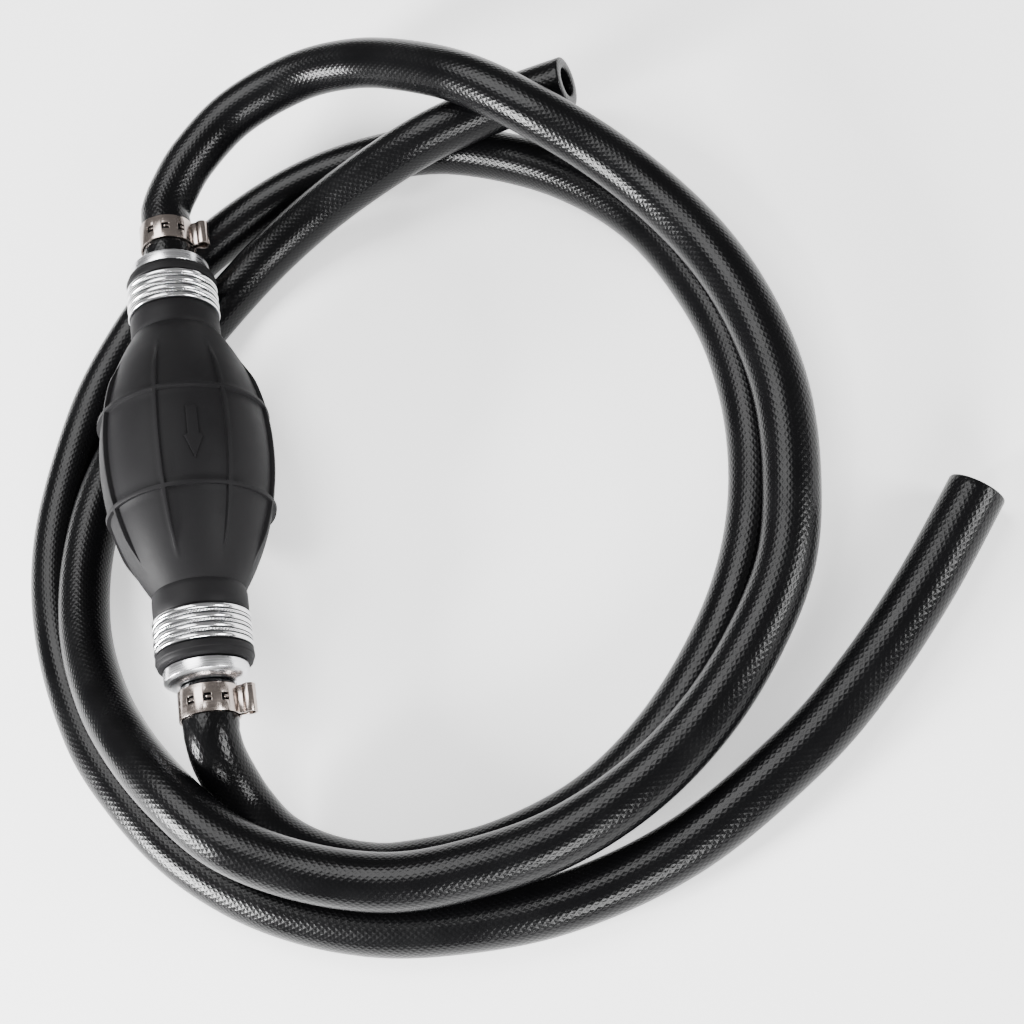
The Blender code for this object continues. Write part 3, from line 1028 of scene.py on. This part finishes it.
class SIPHON_OT_ferrules(bpy.types.Operator):
    """Roll the two ridged and knurled crimp ferrules"""

    bl_idname = "siphon.ferrules"
    bl_label = "Crimp ferrules"

    def execute(self, context):
        pitch = 3000.0
        bright = turned_metal("Ferrule, drawn aluminium", colours().ferrule, 0.16, pitch)
        # The dull grey finish is painted shade for the valleys, the groove walls and the sunk knurl
        # marks.
        groove_painted_shade = turned_metal("Ferrule grooves, painted shade", GROOVE_PAINTED_SHADE, 0.45, pitch)
        outline, rows = ferrule_outline()
        sides = sizes().ferrule_sides
        for which, side in (("inlet", 1.0), ("outlet", -1.0)):
            name = which + "_ferrule_knurled"
            ferrule = turn_on_lathe(name, mirrored(outline, side), sides)
            roll_knurl(ferrule, side, rows, sides)
            shade(ferrule, angle=math.radians(50.0))
            coat(ferrule, bright, groove_painted_shade)
            # Faces in the valleys, on the groove walls and in the sunk knurl marks take the second
            # finish: painted shade.
            low = FERRULE_BORE + GROOVE_MARGIN
            high = FERRULE_KNURL_RADIUS - GROOVE_MARGIN
            for face in ferrule.data.polygons:
                radius = math.hypot(face.center.x, face.center.z)
                face.material_index = int(low < radius < high)
            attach(ferrule, "siphon")
            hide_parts(which + "_crimp_ferrule")
        return {"FINISHED"}


# ---------------------------------------------------------------- fittings


def fitting_outline():
    """Spigot with its seal groove, flange, low collar, barb, bore and valve chamber.

    The rows are (place along the axis, radius) in millimetres.
    """
    rows = [
        (45.0, 6.3),
        (45.0, 8.6),
        (45.3, 8.9),
        (46.5, 8.9),
        (46.5, 7.5),
        (48.3, 7.5),
        (48.3, 8.9),
        (63.5, 8.9),
        (63.5, 11.4),
        (63.8, 11.7),
        (66.8, 11.7),
        (67.0, 11.5),
        (67.6, 10.6),
        (68.1, 9.6),
        (68.4, 8.6),
        (68.5, 8.2),
        (68.5, 7.85),
        (68.0, 7.85),
        (68.0, 4.0),
        (69.0, 4.0),
        (69.3, 4.6),
        (72.3, 4.0),
        (72.7, 4.6),
        (75.7, 4.0),
        (76.1, 4.6),
        (78.8, 3.95),
        (79.0, 3.75),
        (79.0, 3.0),
        (57.0, 3.0),
        (57.0, 6.3),
    ]
    return [(y * MM, radius * MM) for y, radius in rows]


class SIPHON_OT_fittings(bpy.types.Operator):
    """Turn the two fittings: flange, collar, barb and valve chamber"""

    bl_idname = "siphon.fittings"
    bl_label = "Turned fittings"

    def execute(self, context):
        metal = turned_metal("Fitting, turned aluminium", FITTING_ALUMINIUM, 0.24, pitch=2200.0)
        for which, side in (("inlet", 1.0), ("outlet", -1.0)):
            outline = mirrored(fitting_outline(), side)
            fitting = turn_on_lathe(which + "_fitting_turned", outline, sizes().fitting_sides)
            soften(fitting, width=0.1 * MM, angle=math.radians(35.0))
            coat(fitting, metal)
            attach(fitting, "siphon")
            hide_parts(which + "_barb_fitting")
        return {"FINISHED"}


# ---------------------------------------------------------------- ear clamps


def band_line():
    """Middle line of the strip in its own plane: the band, then the looped ear."""
    neck_turn = math.asin(EAR_NECK / CLAMP_RADIUS)
    span = FULL_TURN - 2.0 * neck_turn
    line = []
    for i in range(BAND_STEPS + 1):
        turn = neck_turn + span * i / BAND_STEPS
        line.append((CLAMP_RADIUS * math.cos(turn), CLAMP_RADIUS * math.sin(turn)))
    centre = CLAMP_RADIUS + EAR_LOOP_HEIGHT
    opening = math.asin(EAR_NECK / EAR_LOOP_RADIUS)
    sweep = FULL_TURN - 2.0 * opening
    for i in range(EAR_STEPS + 1):
        turn = math.pi + opening + sweep * i / EAR_STEPS
        x = centre + EAR_LOOP_RADIUS * math.cos(turn)
        line.append((x, EAR_LOOP_RADIUS * math.sin(turn)))
    return line


def placed_band_line():
    """The middle line turned about the flow axis, so that the ear points its way."""
    cos = math.cos(EAR_DIRECTION)
    sin = math.sin(EAR_DIRECTION)
    return [Vector((x * cos - z * sin, 0.0, x * sin + z * cos)) for x, z in band_line()]


def punch(middle_y, turn):
    """U-shaped cutter that frees one hook in the band."""
    clear_selection()
    bpy.ops.mesh.primitive_grid_add(x_subdivisions=3, y_subdivisions=3, size=1.0)
    cutter = bpy.context.object
    grid = 1.0 / 3.0
    pick_faces(cutter, lambda centre, normal: centre.x > -grid / 2.0 and abs(centre.y) < grid / 2.0)
    bpy.ops.mesh.delete(type="FACE")
    bpy.ops.mesh.select_all(action="SELECT")
    through_band = (0.0, 0.0, HOOK_CUT_DEPTH)
    bpy.ops.mesh.extrude_region_move(TRANSFORM_OT_translate={"value": through_band})
    bpy.ops.mesh.select_all(action="SELECT")
    bpy.ops.mesh.normals_make_consistent(inside=False)
    bpy.ops.object.mode_set(mode="OBJECT")
    shrink = Matrix.Diagonal((HOOK_LENGTH, HOOK_WIDTH, 1.0, 1.0))
    lift = Matrix.Translation((0.0, middle_y, CLAMP_RADIUS - HOOK_CUT_DEPTH / 2.0))
    cutter.data.transform(Matrix.Rotation(turn, 4, "Y") @ lift @ shrink)
    return cutter


def bend_strip(name, middle_y):
    """Draw the middle line, widen it along the flow axis and give it its thickness."""
    line = placed_band_line()
    steps = [after - before for before, after in zip(line, line[1:] + line[:1])]
    lowest = Vector((0.0, middle_y - CLAMP_WIDTH / 2.0, 0.0))
    strip = draw_points(name, line[0] + lowest, steps)
    bpy.ops.mesh.select_all(action="SELECT")
    bpy.ops.mesh.extrude_region_move(
        TRANSFORM_OT_translate={"value": (0.0, CLAMP_WIDTH, 0.0)}
    )
    bpy.ops.mesh.select_all(action="SELECT")
    bpy.ops.mesh.normals_make_consistent(inside=False)
    bpy.ops.object.mode_set(mode="OBJECT")
    apply_modifier(strip, "SOLIDIFY", thickness=CLAMP_THICKNESS, offset=0.0)
    return strip


class SIPHON_OT_clamps(bpy.types.Operator):
    """Bend the two ear clamps and punch the hooks in their bands"""

    bl_idname = "siphon.clamps"
    bl_label = "Ear clamps"

    def execute(self, context):
        metal = plated_strip()
        for which, middle_y in (("suction", SUCTION_CLAMP_Y), ("discharge", DISCHARGE_CLAMP_Y)):
            clamp = bend_strip(which + "_clamp_eared", middle_y)
            for turn in HOOK_TURNS:
                cutter = punch(middle_y, turn)
                apply_modifier(
                    clamp,
                    "BOOLEAN",
                    operation="DIFFERENCE",
                    object=cutter,
                    solver="EXACT",
                )
                bpy.data.objects.remove(cutter, do_unlink=True)
            soften(clamp, width=0.08 * MM, angle=math.radians(40.0))
            coat(clamp, metal)
            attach(clamp, "siphon")
            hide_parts(which + "_ear_clamp")
        return {"FINISHED"}


# ---------------------------------------------------------------- valves


def wind_spring(name, start_y):
    """Screw a small circle round the flow axis into an open coil with closed wire ends."""
    clear_selection()
    bpy.ops.mesh.primitive_circle_add(
        vertices=WIRE_SIDES,
        radius=WIRE_RADIUS,
        location=(SPRING_RADIUS, start_y, 0.0),
    )
    bpy.ops.object.transform_apply(location=True)
    spring = bpy.context.object
    spring.name = name
    spring.data.name = name
    steps = SPRING_TURNS * SPRING_STEPS_PER_TURN
    apply_modifier(
        spring,
        "SCREW",
        axis="Y",
        angle=FULL_TURN * SPRING_TURNS,
        screw_offset=-SPRING_LENGTH,
        steps=steps,
        render_steps=steps,
    )
    bpy.ops.object.mode_set(mode="EDIT")
    bpy.ops.mesh.select_all(action="SELECT")
    bpy.ops.mesh.fill_holes(sides=0)
    bpy.ops.mesh.select_all(action="SELECT")
    bpy.ops.mesh.normals_make_consistent(inside=False)
    bpy.ops.object.mode_set(mode="OBJECT")
    shade(spring)
    return spring


class SIPHON_OT_valves(bpy.types.Operator):
    """Wind the valve springs and give the parts of the two check valves their finishes"""

    bl_idname = "siphon.valves"
    bl_label = "Check valve parts"

    def execute(self, context):
        seal = moulded_rubber("Seal ring rubber", SEAL_BLACK, rough=0.45, grain=0.2)
        brass = turned_metal("Valve seat, brass", SEAT_BRASS, rough=0.22, pitch=2600.0)
        steel = turned_metal("Spring wire, steel", WIRE_STEEL, rough=0.18, pitch=5000.0)
        white = moulded_plastic("Poppet, white acetal", POPPET_WHITE, rough=0.4)
        grey = moulded_plastic("Guide, grey plastic", GUIDE_GREY, rough=0.45)
        for which, seat_y in (("inlet", INLET_SEAT_Y), ("outlet", OUTLET_SEAT_Y)):
            start_y = seat_y - SPRING_START
            spring = wind_spring(which + "_spring_wound", start_y)
            coat(spring, steel)
            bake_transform(spring)
            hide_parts(which + "_valve_spring")
            for part, finish in (
                ("_seal_ring", seal),
                ("_valve_seat", brass),
                ("_valve_poppet", white),
                ("_valve_guide", grey),
            ):
                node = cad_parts[which + part]
                for place in node.material_slots:
                    place.material = finish
        return {"FINISHED"}


# ---------------------------------------------------------------- stage


def area_light(name, place, size, power):
    """A soft panel of light that faces LIT_POINT."""
    data = bpy.data.lights.new(name, "AREA")
    data.shape = "RECTANGLE"
    data.size = size[0]
    data.size_y = size[1]
    data.energy = power
    light = bpy.data.objects.new(name, data)
    light.location = place
    look = Vector(LIT_POINT) - Vector(place)
    light.rotation_euler = look.to_track_quat("-Z", "Y").to_euler()
    bpy.context.scene.collection.objects.link(light)


class SIPHON_OT_stage(bpy.types.Operator):
    """Set up the floor, the soft studio light and the camera"""

    bl_idname = "siphon.stage"
    bl_label = "Stage"

    def execute(self, context):
        stage = context.scene.siphon_stage
        clear_selection()
        place = (0.0, 0.0, FLOOR_Z - FLOOR_DROP)
        bpy.ops.mesh.primitive_plane_add(size=FLOOR_SIZE, location=place)
        floor = context.object
        floor.name = "studio_floor"
        finish = Finish("Studio floor, pale")
        speckle = finish.noise(finish.where, scale=40.0)
        colour = stage.floor_colour
        finish.feed(Base_Color=finish.blended(speckle, tone(colour, 0.99), tone(colour, 1.01)))
        finish.set(Roughness=0.9, Specular_IOR_Level=0.1)
        finish.set(Emission_Color=WHITE, Emission_Strength=0.9)
        coat(floor, finish.material)

        world = bpy.data.worlds.new("Studio surround")
        world.use_nodes = True
        background = world.node_tree.nodes["Background"]
        background.inputs["Color"].default_value = WHITE
        background.inputs["Strength"].default_value = SURROUND_STRENGTH
        context.scene.world = world
        for light in LIGHTS:
            area_light(*light)

        camera = bpy.data.objects.new("Camera", bpy.data.cameras.new("Camera"))
        camera.data.lens = stage.lens
        camera.data.sensor_width = 36.0
        camera.data.clip_start = 0.01
        turn = Matrix.Rotation(stage.azimuth, 4, "Z") @ Matrix.Rotation(stage.tilt, 4, "X")
        turn = turn @ Matrix.Rotation(stage.roll, 4, "Z")
        place = Vector(CAMERA_TARGET) + turn.to_3x3() @ Vector((0.0, 0.0, stage.distance))
        camera.matrix_world = Matrix.Translation(place) @ turn
        context.scene.collection.objects.link(camera)
        context.scene.camera = camera
        return {"FINISHED"}


class SIPHON_PT_pieces(bpy.types.Panel):
    """Buttons and sizes of the siphon"""

    bl_idname = "SIPHON_PT_pieces"
    bl_label = "Siphon"
    bl_space_type = "VIEW_3D"
    bl_region_type = "UI"
    bl_category = "Siphon"

    def draw(self, context):
        for operator in OPERATORS:
            self.layout.operator(operator.bl_idname)
        for group in ("siphon_sizes", "siphon_colours", "siphon_stage"):
            settings = getattr(context.scene, group)
            for name in settings.__annotations__:
                self.layout.prop(settings, name)


OPERATORS = (
    SIPHON_OT_clamps,
    SIPHON_OT_hoses,
    SIPHON_OT_bulb,
    SIPHON_OT_ferrules,
    SIPHON_OT_fittings,
    SIPHON_OT_valves,
    SIPHON_OT_stage,
)
GROUPS = (SiphonSizes, SiphonColours, SiphonStage)


def register():
    for cls in (*GROUPS, *OPERATORS, SIPHON_PT_pieces):
        bpy.utils.register_class(cls)
    bpy.types.Scene.siphon_sizes = PointerProperty(type=SiphonSizes)
    bpy.types.Scene.siphon_colours = PointerProperty(type=SiphonColours)
    bpy.types.Scene.siphon_stage = PointerProperty(type=SiphonStage)


def unregister():
    del bpy.types.Scene.siphon_stage
    del bpy.types.Scene.siphon_colours
    del bpy.types.Scene.siphon_sizes
    for cls in (SIPHON_PT_pieces, *reversed(OPERATORS), *reversed(GROUPS)):
        bpy.utils.unregister_class(cls)


def main():
    register()
    for operator in OPERATORS:
        name = operator.bl_idname.removeprefix("siphon.")
        if getattr(bpy.ops.siphon, name)() != {"FINISHED"}:
            raise RuntimeError("The step " + name + " did not finish")


if __name__ == "__main__":
    main()
